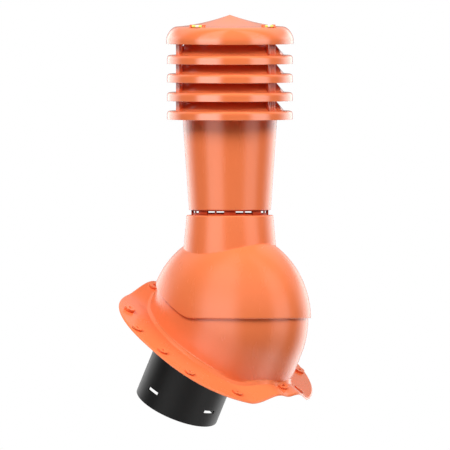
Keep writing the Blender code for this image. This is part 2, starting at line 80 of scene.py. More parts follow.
GRAIN_STRENGTH = 0.05
TERRACOTTA_TONES = ((0.88, 0.203, 0.068), (0.90, 0.213, 0.074))

# Rows over the bead go out and up, in shares of its width and height. Rows over the flange's edge go in
# and down, in shares of the edge's slope.
BEAD_ROWS = ((0.0, 1.3), (0.0, 1.05), (0.08, 1.0), (0.25, 0.88), (0.86, 0.22), (0.97, 0.07), (1.1, 0.0))
EDGE_ROWS = ((1.15, 0.0), (1.0, 0.02), (0.85, 0.09), (0.12, 0.80), (0.02, 0.92), (0.0, 1.0), (0.0, 1.08))

# The dome tilts on the bowl about a level axis, and the duct leans away from the pipe by the joint's
# whole range. The roof's pitch is read from the mount that names the roof.
tilt = frame["joints"][0]
PIVOT = Vector(tilt["pos_m"])
DUCT_LEAN = math.radians(tilt["range_deg"][1])
roof_seat = next(m for m in frame["record"]["mounts"] if m["name"] == "roof_seat")
ROOF_PITCH = math.atan2(roof_seat["axis"][1], -roof_seat["axis"][2])
IN_ROOF_FRAME = Matrix.Translation(PIVOT) @ Matrix.Rotation(DUCT_LEAN, 4, "X")


def grain_group():
    """Moulded surface: a fine even grain, slow drifts of tone, and faint rub marks."""
    group = bpy.data.node_groups.new("moulded_surface", "ShaderNodeTree")
    sockets = group.interface
    sockets.new_socket("Vector", in_out="INPUT", socket_type="NodeSocketVector")
    for name, value in (("Grain Scale", 900.0), ("Drift Scale", 9.0), ("Rub Scale", 60.0)):
        sockets.new_socket(name, in_out="INPUT", socket_type="NodeSocketFloat").default_value = value
    for name in ("Grain", "Drift", "Rub"):
        sockets.new_socket(name, in_out="OUTPUT", socket_type="NodeSocketFloat")
    nodes, links = group.nodes, group.links
    taken = nodes.new("NodeGroupInput")
    given = nodes.new("NodeGroupOutput")
    stretch = nodes.new("ShaderNodeMapping")
    stretch.inputs["Scale"].default_value = (1.0, 1.0, 0.12)
    links.new(taken.outputs["Vector"], stretch.inputs["Vector"])
    plain, stretched = taken.outputs["Vector"], stretch.outputs["Vector"]
    for name, detail, source in (("Grain", 3.0, plain), ("Drift", 2.0, plain), ("Rub", 5.0, stretched)):
        noise = nodes.new("ShaderNodeTexNoise")
        noise.inputs["Detail"].default_value = detail
        links.new(source, noise.inputs["Vector"])
        links.new(taken.outputs[f"{name} Scale"], noise.inputs["Scale"])
        spread = nodes.new("ShaderNodeMapRange")
        spread.inputs["From Min"].default_value = 0.35
        spread.inputs["From Max"].default_value = 0.65
        links.new(noise.outputs["Fac"], spread.inputs["Value"])
        links.new(spread.outputs["Result"], given.inputs[name])
    return group


moulded_surface = grain_group()


def moulded_plastic(name, tones, roughness, grain_depth, ior):
    """Satin plastic between two tones, its roughness between two values."""
    material = bpy.data.materials.new(name)
    material.use_nodes = True
    nodes, links = material.node_tree.nodes, material.node_tree.links
    shader = nodes["Principled BSDF"]
    shader.inputs["IOR"].default_value = ior
    place = nodes.new("ShaderNodeTexCoord")
    surface = nodes.new("ShaderNodeGroup")
    surface.node_tree = moulded_surface
    links.new(place.outputs["Object"], surface.inputs["Vector"])
    colour = nodes.new("ShaderNodeMix")
    colour.data_type = "RGBA"
    colour.inputs["A"].default_value = (*tones[0], 1.0)
    colour.inputs["B"].default_value = (*tones[1], 1.0)
    links.new(surface.outputs["Drift"], colour.inputs["Factor"])
    links.new(colour.outputs["Result"], shader.inputs["Base Color"])
    rub = nodes.new("ShaderNodeMapRange")
    rub.inputs["To Min"].default_value = roughness[0]
    rub.inputs["To Max"].default_value = roughness[1]
    links.new(surface.outputs["Rub"], rub.inputs["Value"])
    links.new(rub.outputs["Result"], shader.inputs["Roughness"])
    bump = nodes.new("ShaderNodeBump")
    bump.inputs["Strength"].default_value = GRAIN_STRENGTH
    bump.inputs["Distance"].default_value = grain_depth
    links.new(surface.outputs["Grain"], bump.inputs["Height"])
    links.new(bump.outputs["Normal"], shader.inputs["Normal"])
    return material


terracotta = moulded_plastic("terracotta_satin", TERRACOTTA_TONES, roughness=(0.265, 0.275),
                             grain_depth=0.00005, ior=1.6)


def outward_mesh(name, points, faces):
    """A smooth mesh with doubles merged and its faces turned outwards."""
    mesh = bpy.data.meshes.new(name)
    mesh.from_pydata(points, [], faces)
    shell = bmesh.new()
    shell.from_mesh(mesh)
    bmesh.ops.remove_doubles(shell, verts=shell.verts, dist=1e-6)
    bmesh.ops.recalc_face_normals(shell, faces=shell.faces)
    if shell.calc_volume(signed=True) < 0:
        bmesh.ops.reverse_faces(shell, faces=shell.faces)
    shell.to_mesh(mesh)
    shell.free()
    mesh.shade_smooth()
    return mesh


def closed_skin(name, rows):
    """A skin over rows of points, each once round, the last row joined to the first."""
    points = np.array(rows)
    count, sides = points.shape[:2]
    row, step = np.meshgrid(np.arange(count), np.arange(sides), indexing="ij")
    next_row, next_step = (row + 1) % count, (step + 1) % sides
    quads = np.stack([row * sides + step, row * sides + next_step,
                      next_row * sides + next_step, next_row * sides + step], axis=-1)
    return outward_mesh(name, points.reshape(-1, 3).tolist(), quads.reshape(-1, 4).tolist())


def placed(name, data):
    """A new object in the scene, at the origin."""
    item = bpy.data.objects.new(name, data)
    bpy.context.scene.collection.objects.link(item)
    return item


def dress(name, mesh, material, body, *nodes, slot="terracotta_plastic"):
    """The finished piece: its mesh is already in place, and it rides on its body."""
    mesh.materials.clear()
    mesh.materials.append(material)
    piece = placed(name, mesh)
    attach(piece, body)
    if nodes:
        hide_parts(*nodes)


def once_round(count):
    return np.linspace(0.0, 2 * math.pi, count, endpoint=False)


def plan_points(turn, radius, height):
    """Points at angles about Z, at a radius and a height of their own or in common."""
    return np.stack([radius * np.cos(turn), radius * np.sin(turn), height + 0.0 * turn], axis=-1)


def oval_plan(turn, half_width, half_length):
    return 1.0 / np.hypot(np.cos(turn) / half_width, np.sin(turn) / half_length)


def wave(x):
    """The sheet's height over the tiles: a ridge with a shallow groove, and a valley each side."""
    run = np.clip((np.abs(x) - RIDGE_HALF_TOP) / (RIDGE_HALF_FOOT - RIDGE_HALF_TOP), 0.0, 1.0)
    ridge = 0.5 + 0.5 * np.cos(math.pi * run)
    return -VALLEY_DEPTH + RIDGE_RISE * ridge - GROOVE_DEPTH * np.exp(-(x / GROOVE_HALF_WIDTH) ** 2)


def sheet_top(x, y):
    return wave(x) + math.tan(ROOF_PITCH - DUCT_LEAN) * y


def on_sheet(turn, radius, lift=0.0):
    return plan_points(turn, radius, sheet_top(radius * np.cos(turn), radius * np.sin(turn)) + lift)


def flange_reach(turn):
    """Plan radius of the flange: a rounded square set off to one side."""
    inner, outer = np.zeros_like(turn), np.full_like(turn, 2.0 * (FLANGE_HALF_WIDTH + FLANGE_HALF_LENGTH))
    for _ in range(SEARCH_STEPS):
        radius = 0.5 * (inner + outer)
        across = np.abs(radius * np.cos(turn) - FLANGE_SHIFT[0]) / FLANGE_HALF_WIDTH
        along = (radius * np.sin(turn) - FLANGE_SHIFT[1]) / FLANGE_HALF_LENGTH
        power = np.where(along > 0, SQUARENESS_UPHILL, SQUARENESS_DOWNHILL)
        within = across ** power + np.abs(along) ** power < 1.0
        inner, outer = np.where(within, radius, inner), np.where(within, outer, radius)
    return inner


def bowl_point(turn, latitude, inset=0.0):
    plan = oval_plan(turn, BOWL_HALF_WIDTH - inset, BOWL_RADIUS - inset)
    return plan_points(turn, plan * math.cos(latitude), (BOWL_RADIUS - inset) * math.sin(latitude))


def wall_point(turn, share, inset=0.0):
    """On the bowl's straight wall: share 0 at its widest, 1 where it meets the sheet."""
    plan = oval_plan(turn, BOWL_HALF_WIDTH - inset, BOWL_RADIUS - inset)
    height = share * on_sheet(turn, plan)[:, 2]
    return plan_points(turn, plan - height * math.tan(FOOT_DRAFT), height)


def collar_reach(turn, radius):
    """From the bowl's axis to the duct's circle, which sits further up the slope."""
    return DUCT_UPHILL * np.sin(turn) + np.sqrt(radius ** 2 - (DUCT_UPHILL * np.cos(turn)) ** 2)


def base_skin():
    turn = once_round(BASE_TURNS)
    hole = DUCT_RADIUS + DUCT_GAP
    collar = collar_reach(turn, hole + COLLAR_WALL)
    foot_row = wall_point(turn, 1.0)
    foot = np.hypot(foot_row[:, 0], foot_row[:, 1])
    inner_foot_row = wall_point(turn, 1.0, BASE_WALL)
    inner_foot = np.hypot(inner_foot_row[:, 0], inner_foot_row[:, 1])
    reach = flange_reach(turn)
    rows = []
    for t in np.linspace(0.0, math.pi, 7):
        rows.append(plan_points(turn, collar_reach(turn, hole + 0.5 * COLLAR_WALL * (1 - math.cos(t))),
                                COLLAR_TOP - 0.5 * COLLAR_WALL * (1 - math.sin(t))))
    rows += [on_sheet(turn, collar + share * (inner_foot - collar)) for share in (0.0, 0.02, 0.5, 0.98)]
    rows += [wall_point(turn, share, BASE_WALL) for share in (0.98, 0.7, 0.4, 0.1)]
    rows += [bowl_point(turn, share * MOUTH_LATITUDE, BASE_WALL) for share in np.linspace(0.0, 1.0, 12)]
    for t in np.linspace(0.0, math.pi, 7)[1:-1]:
        rows.append(bowl_point(turn, MOUTH_LATITUDE + 0.5 * BASE_WALL / BOWL_RADIUS * math.sin(t),
                               0.5 * BASE_WALL * (1 + math.cos(t))))
    rows += [bowl_point(turn, share * MOUTH_LATITUDE) for share in np.linspace(1.0, 0.0, 16)]
    rows += [wall_point(turn, share) for share in (0.05, 0.15, 0.3, 0.45, 0.6, 0.75, 0.85, 0.92)]
    rows += [on_sheet(turn, foot + out * BEAD_WIDTH, up * BEAD_HEIGHT) for out, up in BEAD_ROWS]
    start, stop = foot + 1.4 * BEAD_WIDTH, reach - SHEET
    rows += [on_sheet(turn, start + share * (stop - start)) for share in np.linspace(0.0, 1.0, 14)]
    rows += [on_sheet(turn, reach - inset * EDGE_SLOPE, -down * EDGE_SLOPE) for inset, down in EDGE_ROWS]
    rows.append(on_sheet(turn, reach - 0.1 * SHEET, -SHEET))
    collar_hole = collar_reach(turn, hole)
    rows += [on_sheet(turn, stop + share * (collar_hole - stop), -SHEET)
             for share in np.linspace(0.0, 1.0, 18)]
    return closed_skin("roof_base_shell", rows)


base_mesh = base_skin()
base_mesh.transform(IN_ROOF_FRAME)
dress("roof_base_shell", base_mesh, terracotta, "base", "roof_base")


# Screw bosses of the flange: low round pads with a small countersunk hole for a roofing screw. They are
# part of the base's moulding, and the two near the upper corners stand taller to meet the tiles above.
BOSS_RADIUS = 0.0078
BOSS_HEIGHT = 0.0032
BOSS_ROOT = 0.0012
BOSS_HOLE = 0.0019
BOSS_SINK = 0.0009
BOSS_PAIRS = ((0.1294, 0.0509), (0.1294, -0.0073), (0.1235, -0.0625), (0.0683, -0.1148), (0.0180, 0.1320))
BOSS_TALL_PAIR = (0.1003, 0.0980)
BOSS_TALL = 1.6
BOSS_LOW = (0.0160, -0.1250)
BOSS_EDGE = 0.0005
BOSS_HOLE_EDGE = 0.0002
BOSS_TURNS = 32
SHARP_ANGLE = math.radians(40)


def rounded(corners, steps=5):
    """A closed outline from corners (across, up, radius), with a short edge beside each end of an arc."""
    outline = []
    for k, (across, up, radius) in enumerate(corners):
        here = Vector((across, up))
        before = Vector(corners[k - 1][:2])
        after = Vector(corners[(k + 1) % len(corners)][:2])
        if radius == 0.0:
            outline.append(here)
            continue
        towards, away = (before - here), (after - here)
        reach = min(radius, 0.4 * towards.length, 0.4 * away.length)
        start, stop = here + towards.normalized() * reach, here + away.normalized() * reach
        outline.append(here + towards.normalized() * min(1.6 * reach, 0.48 * towards.length))
        for t in np.linspace(0.0, 1.0, steps):
            outline.append(start.lerp(here, t).lerp(here.lerp(stop, t), t))
        outline.append(here + away.normalized() * min(1.6 * reach, 0.48 * away.length))
    return outline


def lathed(name, corners, sides, steps=5):
    """A round piece turned about Z from the outline of its wall."""
    return closed_skin(name, [plan_points(once_round(sides), p.x, p.y) for p in rounded(corners, steps)])


def new_tree(name, inputs):
    """A Geometry Nodes tree with a geometry in and out, and named inputs after it."""
    tree = bpy.data.node_groups.new(name, "GeometryNodeTree")
    tree.interface.new_socket("Geometry", in_out="INPUT", socket_type="NodeSocketGeometry")
    tree.interface.new_socket("Geometry", in_out="OUTPUT", socket_type="NodeSocketGeometry")
    for label, kind in inputs:
        tree.interface.new_socket(label, in_out="INPUT", socket_type=f"NodeSocket{kind}")
    return tree, tree.nodes.new("NodeGroupInput"), tree.nodes.new("NodeGroupOutput")


def finish_tree(tree, taken, given, geometry):
    """Turns the instances into a mesh and gives it the material."""
    realise = tree.nodes.new("GeometryNodeRealizeInstances")
    paint = tree.nodes.new("GeometryNodeSetMaterial")
    tree.links.new(geometry, realise.inputs["Geometry"])
    tree.links.new(realise.outputs["Geometry"], paint.inputs["Geometry"])
    tree.links.new(taken.outputs["Material"], paint.inputs["Material"])
    tree.links.new(paint.outputs["Geometry"], given.inputs["Geometry"])


def round_edges(host, width, segments=3):
    """Gives an object a bevel on its sharp edges."""
    edges = host.modifiers.new("edges", "BEVEL")
    edges.width = width
    edges.segments = segments
    edges.limit_method = "ANGLE"
    edges.angle_limit = SHARP_ANGLE
    edges.harden_normals = True


def finished_mesh(host, *helpers):
    """The object's mesh as its modifiers leave it. The object and its helpers are removed."""
    bpy.context.view_layer.update()
    mesh = bpy.data.meshes.new_from_object(host.evaluated_get(bpy.context.evaluated_depsgraph_get()))
    host.modifiers.clear()
    for item in (host, *helpers):
        bpy.data.objects.remove(item)
    return mesh


def grown_mesh(name, tree, values, start=None, bevel=0.0):
    """The mesh that a tree makes with these values, its edges rounded if a bevel is given."""
    host = placed(name, start or bpy.data.meshes.new(name))
    modifier = host.modifiers.new(tree.name, "NODES")
    modifier.node_group = tree
    for item in tree.interface.items_tree:
        if item.in_out == "INPUT" and item.name in values:
            modifier[item.identifier] = values[item.name]
    if bevel > 0.0:
        round_edges(host, bevel)
    grown = finished_mesh(host)
    grown.name = name
    grown.shade_smooth()
    return grown


def boss_tree():
    """Sets a copy of the boss on every point, square to the sheet and as tall as the point says."""
    tree, taken, given = new_tree("screw_bosses", (("Boss", "Object"), ("Material", "Material")))
    nodes, links = tree.nodes, tree.links
    boss = nodes.new("GeometryNodeObjectInfo")
    upright = nodes.new("GeometryNodeInputNamedAttribute")
    upright.data_type = "FLOAT_VECTOR"
    upright.inputs["Name"].default_value = "upright"
    rise = nodes.new("GeometryNodeInputNamedAttribute")
    rise.data_type = "FLOAT"
    rise.inputs["Name"].default_value = "rise"
    turn = nodes.new("FunctionNodeAlignRotationToVector")
    turn.axis = "Z"
    size = nodes.new("ShaderNodeCombineXYZ")
    size.inputs["X"].default_value = 1.0
    size.inputs["Y"].default_value = 1.0
    spread = nodes.new("GeometryNodeInstanceOnPoints")
    links.new(taken.outputs["Boss"], boss.inputs["Object"])
    links.new(upright.outputs["Attribute"], turn.inputs["Vector"])
    links.new(rise.outputs["Attribute"], size.inputs["Z"])
    links.new(taken.outputs["Geometry"], spread.inputs["Points"])
    links.new(boss.outputs["Geometry"], spread.inputs["Instance"])
    links.new(turn.outputs["Rotation"], spread.inputs["Rotation"])
    links.new(size.outputs["Vector"], spread.inputs["Scale"])
    finish_tree(tree, taken, given, spread.outputs["Instances"])
    return tree


def boss_points():
    """One point for each boss on the sheet, with the sheet's own upright and the boss's rise."""
    places = [(side * x, y, 1.0) for x, y in BOSS_PAIRS for side in (-1, 1)]
    places += [(side * BOSS_TALL_PAIR[0], BOSS_TALL_PAIR[1], BOSS_TALL) for side in (-1, 1)]
    places.append((*BOSS_LOW, 1.0))
    step = 0.25 * BOSS_RADIUS
    points, uprights = [], []
    for x, y, _ in places:
        x, y = x + FLANGE_SHIFT[0], y + FLANGE_SHIFT[1]
        slope_x = (sheet_top(x + step, y) - sheet_top(x - step, y)) / (2 * step)
        slope_y = (sheet_top(x, y + step) - sheet_top(x, y - step)) / (2 * step)
        points.append((x, y, float(sheet_top(x, y))))
        uprights += [*Vector((-slope_x, -slope_y, 1.0)).normalized()]
    mesh = bpy.data.meshes.new("boss_points")
    mesh.from_pydata(points, [], [])
    mesh.attributes.new("upright", "FLOAT_VECTOR", "POINT").data.foreach_set("vector", uprights)
    mesh.attributes.new("rise", "FLOAT", "POINT").data.foreach_set("value", [rise for *_, rise in places])
    return mesh


boss_corners = [(BOSS_HOLE, -BOSS_ROOT, 0.0), (BOSS_RADIUS, -BOSS_ROOT, 0.0),
                (BOSS_RADIUS, BOSS_HEIGHT, BOSS_EDGE), (BOSS_HOLE + BOSS_SINK, BOSS_HEIGHT, BOSS_HOLE_EDGE),
                (BOSS_HOLE, BOSS_HEIGHT - BOSS_SINK, BOSS_HOLE_EDGE)]
boss = bpy.data.objects.new("one_boss", lathed("one_boss", boss_corners, BOSS_TURNS, steps=4))
bosses = grown_mesh("screw_bosses", boss_tree(), {"Boss": boss, "Material": terracotta}, boss_points())
bpy.data.objects.remove(boss)
bosses.transform(IN_ROOF_FRAME)
dress("screw_bosses", bosses, terracotta, "base", "roof_base")


# Duct stub: a straight black plastic pipe that hangs by its lip on the collar inside the base. Four slots
# are punched near its open end, where the duct from the loft is clamped on.
DUCT_WALL = 0.0026
DUCT_BELOW = 0.1605
DUCT_LIP = 0.0042
DUCT_LIP_HEIGHT = 0.0030
SEAT_GAP = 0.0003
SLOT_LENGTH = 0.0200
SLOT_WIDTH = 0.0046
SLOT_ABOVE_END = 0.0238
SLOT_TURN = math.radians(-4.5)
SLOT_COUNT = 4
DUCT_EDGE = 0.0005

black_plastic = moulded_plastic("black_duct_plastic", ((0.004, 0.004, 0.004), (0.007, 0.007, 0.007)),
                                roughness=(0.44, 0.48), grain_depth=0.00008, ior=1.27)


def turns_past_openings(centres, half_width, cells_in, cells_between):
    """Angles once round with lines on both edges of each opening, and which cells between them are open."""
    turns, opened = [], []
    centres = np.sort(np.mod(centres, 2 * math.pi))
    for here, after in zip(centres, np.append(centres[1:], centres[0] + 2 * math.pi)):
        turns += list(np.linspace(here - half_width, here + half_width, cells_in, endpoint=False))
        opened += [True] * cells_in
        turns += list(np.linspace(here + half_width, after - half_width, cells_between, endpoint=False))
        opened += [False] * cells_between
    return np.array(turns), opened


def pierced_wall(name, outer, inner, turns, opened, open_row):
    """A round wall between two lists of (radius, height), open through one row of its cells."""
    rows = [plan_points(turns, r, z) for r, z in outer + inner]
    sides, last = len(turns), len(outer) - 1

    def at(layer, row, step):
        return (layer * (last + 1) + row) * sides + step % sides

    faces = []
    for i in range(sides):
        for j in range(last):
            if j == open_row and opened[i]:
                faces += [(at(0, j + d, i), at(0, j + d, i + 1), at(1, j + d, i + 1), at(1, j + d, i))
                          for d in (0, 1)]
                faces += [(at(0, j, i + d), at(0, j + 1, i + d), at(1, j + 1, i + d), at(1, j, i + d))
                          for d in (0, 1) if not opened[(i - 1 + 2 * d) % sides]]
                continue
            faces += [(at(layer, j, i), at(layer, j, i + 1), at(layer, j + 1, i + 1), at(layer, j + 1, i))
                      for layer in (0, 1)]
        faces += [(at(0, j, i), at(0, j, i + 1), at(1, j, i + 1), at(1, j, i)) for j in (0, last)]
    return outward_mesh(name, np.concatenate(rows).tolist(), faces)


def softened(mesh, width, segments=3):
    """The same mesh, smooth, with its sharp edges rounded."""
    mesh.shade_smooth()
    host = placed(mesh.name, mesh)
    round_edges(host, width, segments)
    return finished_mesh(host)


lip_bottom = COLLAR_TOP + SEAT_GAP
slot_middle = SLOT_ABOVE_END - DUCT_BELOW
duct_heights = [-DUCT_BELOW, slot_middle - 0.5 * SLOT_WIDTH, slot_middle + 0.5 * SLOT_WIDTH, lip_bottom]
duct_outer = [(DUCT_RADIUS, z) for z in duct_heights]
duct_outer += [(DUCT_RADIUS + DUCT_LIP, lip_bottom), (DUCT_RADIUS + DUCT_LIP, lip_bottom + DUCT_LIP_HEIGHT)]
duct_inner = [(DUCT_RADIUS - DUCT_WALL, z) for z in duct_heights]
duct_inner += [(DUCT_RADIUS - DUCT_WALL, lip_bottom + share * DUCT_LIP_HEIGHT) for share in (0.4, 1.0)]
duct_turns, duct_open = turns_past_openings(SLOT_TURN + once_round(SLOT_COUNT),
                                            0.5 * SLOT_LENGTH / DUCT_RADIUS, cells_in=8, cells_between=32)
duct_mesh = pierced_wall("duct_wall", duct_outer, duct_inner, duct_turns, duct_open, open_row=1)
duct_mesh = softened(duct_mesh, DUCT_EDGE)
duct_mesh.transform(IN_ROOF_FRAME @ Matrix.Translation((0.0, DUCT_UPHILL, 0.0)))
dress("duct_wall", duct_mesh, black_plastic, "base", "duct_stub", slot="black_plastic")


# Swivel dome: a thin dome that laps over the bowl and turns on it, with the neck that takes the pipe. It is
# one moulding. Its rim is level in front and rises behind, so that the dome clears the flange when it tilts.
DOME_WALL = 0.0022
LAP_GAP = 0.0018
DOME_HALF_WIDTH = BOWL_HALF_WIDTH + LAP_GAP + DOME_WALL
DOME_RADIUS = BOWL_RADIUS + LAP_GAP + DOME_WALL
RIM_LEVEL = 0.0020
RIM_BLEND = 0.0130
NECK_TOP = 0.1512
NECK_TOP_RADIUS = 0.0632
NECK_FOOT_RADIUS = 0.0673
NECK_WALL = 0.0026
NECK_EDGE = 0.0020
SOCKET_DEPTH = 0.0200
SOCKET_WALL = 0.0022
SPIGOT_RADIUS = 0.0548
SPIGOT_CLEARANCE = 0.0004
SOCKET_ROUND = 0.0012
DOME_TURNS = 288
ON_PIPE_AXIS = Matrix.Translation(PIVOT)


def rim_height(y):
    """Level on the downhill half, and square to the duct on the uphill half."""
    slope = math.tan(DUCT_LEAN)
    blend = slope * (y + RIM_BLEND) ** 2 / (4 * RIM_BLEND)
    return RIM_LEVEL + np.where(y <= -RIM_BLEND, 0.0, np.where(y >= RIM_BLEND, slope * y, blend))


def dome_row(turn, share, inset, stop_radius, drop=0.0):
    """Share 0 is on the rim, and 1 where the dome reaches a radius from the pipe's axis."""
    plan = oval_plan(turn, DOME_HALF_WIDTH - inset, DOME_RADIUS - inset)
    low = np.zeros_like(turn)
    for _ in range(SEARCH_STEPS):
        low = np.arcsin(rim_height(plan * np.cos(low) * np.sin(turn)) / (DOME_RADIUS - inset))
    latitude = low + share * (np.arccos(stop_radius / plan) - low) - drop / DOME_RADIUS
    return plan_points(turn, plan * np.cos(latitude), (DOME_RADIUS - inset) * np.sin(latitude))


def dome_skin():
    turn = once_round(DOME_TURNS)
    rows = []
    for t in np.linspace(math.pi, 0.0, 7)[1:-1]:
        rows.append(dome_row(turn, 0.0, 0.5 * DOME_WALL * (1 - math.cos(t)), NECK_FOOT_RADIUS,
                             0.5 * DOME_WALL * (math.sin(t) - 1)))
    rows += [dome_row(turn, share, 0.0, NECK_FOOT_RADIUS)
             for share in (0.012, *np.linspace(0.03, 0.97, 40), 0.99, 1.0)]
    crease = rows[-1]
    edge = plan_points(turn, NECK_TOP_RADIUS, NECK_TOP - NECK_EDGE)
    rows += [crease + share * (edge - crease) for share in (0.025, 0.06, 0.3, 0.6, 0.9, 0.97)]
    for t in np.linspace(0.0, 0.5 * math.pi, 7):
        rows.append(plan_points(turn, NECK_TOP_RADIUS - NECK_EDGE * (1 - math.cos(t)),
                                NECK_TOP - NECK_EDGE * (1 - math.sin(t))))
    socket = SPIGOT_RADIUS + SPIGOT_CLEARANCE
    shelf = NECK_TOP - NECK_WALL
    inner_neck = NECK_TOP_RADIUS - NECK_WALL
    for radius, height in ((socket + SOCKET_ROUND, NECK_TOP),
                           (socket + 0.25 * SOCKET_ROUND, NECK_TOP - 0.25 * SOCKET_ROUND),
                           (socket, NECK_TOP - SOCKET_ROUND), (socket, NECK_TOP - SOCKET_DEPTH),
                           (socket + SOCKET_WALL, NECK_TOP - SOCKET_DEPTH), (socket + SOCKET_WALL, shelf),
                           (inner_neck, shelf)):
        rows.append(plan_points(turn, radius, height))
    rows += [dome_row(turn, share, DOME_WALL, NECK_FOOT_RADIUS - NECK_WALL)
             for share in np.linspace(1.0, 0.012, 24)]
    return closed_skin("swivel_dome_shell", rows)


dome_mesh = dome_skin()
dome_mesh.transform(ON_PIPE_AXIS)
dress("swivel_dome_shell", dome_mesh, terracotta, "upper", "swivel_dome")


# Tapered pipe: widens upwards, and stands on the neck by eight feet round the slotted spigot that plugs in.
# Air and daylight show through the windows between the feet and the thin teeth.
PIPE_GAP = 0.0074
PIPE_BOTTOM = NECK_TOP + PIPE_GAP
PIPE_BOTTOM_RADIUS = 0.0596
PIPE_TOP_RADIUS = 0.0694
PIPE_LENGTH = 0.1423
PIPE_TOP = PIPE_BOTTOM + PIPE_LENGTH
PIPE_WALL = 0.0024
SPIGOT_WALL = 0.0024
SPIGOT_DEPTH = 0.0240
FOOT_COUNT = 8
FOOT_WIDTH = 0.0170
FOOT_TURN = math.radians(-5.0)
FOOT_REACH = 0.0012
THIN_TOOTH = 0.0024
WINDOW_HEIGHT = 0.0036
WINDOW_DROP = 0.0012
PIPE_EDGE = 0.0006
PIPE_FOOT_ROUND = 0.0016
PIPE_INNER_ROUND = 0.0012
SPIGOT_MOUTH_EDGE = 0.0004
SPIGOT_EDGE = 0.0003
FOOT_EDGE = 0.0004
PIPE_TURNS = 192


def post_tree():
    """Upright posts round an axis, each with ribs down its outer face."""
    inputs = (("Count", "Int"), ("Circle Radius", "Float"), ("Thickness", "Float"), ("Width", "Float"),
              ("Height", "Float"), ("Middle Height", "Float"), ("First Turn", "Float"), ("Rib Count", "Int"),
              ("Rib Radius", "Float"), ("Material", "Material"))
    tree, taken, given = new_tree("posts_round_an_axis", inputs)
    nodes, links = tree.nodes, tree.links

    def maths(operation, first, second):
        node = nodes.new("ShaderNodeMath")
        node.operation = operation
        for socket, value in zip(node.inputs, (first, second)):
            if isinstance(value, bpy.types.NodeSocket):
                links.new(value, socket)
            else:
                socket.default_value = value
        return node.outputs["Value"]

    def vector(**parts):
        node = nodes.new("ShaderNodeCombineXYZ")
        for axis, value in parts.items():
            links.new(value, node.inputs[axis])
        return node.outputs["Vector"]

    block = nodes.new("GeometryNodeMeshCube")
    links.new(vector(X=taken.outputs["Thickness"], Y=taken.outputs["Width"], Z=taken.outputs["Height"]),
              block.inputs["Size"])
    rib = nodes.new("GeometryNodeMeshCylinder")
    rib.inputs["Vertices"].default_value = 16
    links.new(taken.outputs["Rib Radius"], rib.inputs["Radius"])
    links.new(taken.outputs["Height"], rib.inputs["Depth"])
    pitch = maths("DIVIDE", taken.outputs["Width"], taken.outputs["Rib Count"])
    first_rib = maths("MULTIPLY", maths("SUBTRACT", taken.outputs["Width"], pitch), -0.5)
    line = nodes.new("GeometryNodeMeshLine")
    links.new(taken.outputs["Rib Count"], line.inputs["Count"])
    links.new(vector(X=maths("MULTIPLY", taken.outputs["Thickness"], 0.5), Y=first_rib),
              line.inputs["Start Location"])
    links.new(vector(Y=pitch), line.inputs["Offset"])
    ribs = nodes.new("GeometryNodeInstanceOnPoints")
    links.new(line.outputs["Mesh"], ribs.inputs["Points"])
    links.new(rib.outputs["Mesh"], ribs.inputs["Instance"])
    post = nodes.new("GeometryNodeJoinGeometry")
    links.new(block.outputs["Mesh"], post.inputs["Geometry"])
    links.new(ribs.outputs["Instances"], post.inputs["Geometry"])
    stand = nodes.new("GeometryNodeTransform")
    links.new(post.outputs["Geometry"], stand.inputs["Geometry"])
    links.new(vector(X=taken.outputs["Circle Radius"], Z=taken.outputs["Middle Height"]),
              stand.inputs["Translation"])
    points = nodes.new("GeometryNodePoints")
    links.new(taken.outputs["Count"], points.inputs["Count"])
    index = nodes.new("GeometryNodeInputIndex").outputs["Index"]
    step = maths("DIVIDE", 2 * math.pi, taken.outputs["Count"])
    turn = maths("ADD", taken.outputs["First Turn"], maths("MULTIPLY", index, step))
    spread = nodes.new("GeometryNodeInstanceOnPoints")
    links.new(points.outputs["Points"], spread.inputs["Points"])
    links.new(stand.outputs["Geometry"], spread.inputs["Instance"])
    links.new(vector(Z=turn), spread.inputs["Rotation"])
    finish_tree(tree, taken, given, spread.outputs["Instances"])
    return tree


posts_round_an_axis = post_tree()

spigot_inner = SPIGOT_RADIUS - SPIGOT_WALL
shelf_top = PIPE_BOTTOM + PIPE_WALL
pipe_corners = [(PIPE_TOP_RADIUS, PIPE_TOP, PIPE_EDGE), (PIPE_BOTTOM_RADIUS, PIPE_BOTTOM, PIPE_FOOT_ROUND),
                (spigot_inner, PIPE_BOTTOM, SPIGOT_MOUTH_EDGE), (spigot_inner, shelf_top, PIPE_EDGE),
                (PIPE_BOTTOM_RADIUS - PIPE_WALL, shelf_top, PIPE_INNER_ROUND),
                (PIPE_TOP_RADIUS - PIPE_WALL, PIPE_TOP, PIPE_EDGE)]
pipe_mesh = lathed("tapered_pipe_wall", pipe_corners, PIPE_TURNS)
pipe_mesh.transform(ON_PIPE_AXIS)
dress("tapered_pipe_wall", pipe_mesh, terracotta, "upper", "tapered_pipe")

# The spigot and its feet share a darker, matt copy of the pipe's terracotta. Its darker tones are painted shade
# for the deep gap between the pipe and the neck, not a colour of their own.
shaded_spigot_terracotta = moulded_plastic("terracotta_matt", ((0.48, 0.060, 0.018), (0.52, 0.068, 0.022)),
                                    roughness=(0.50, 0.55), grain_depth=0.00005, ior=1.3)

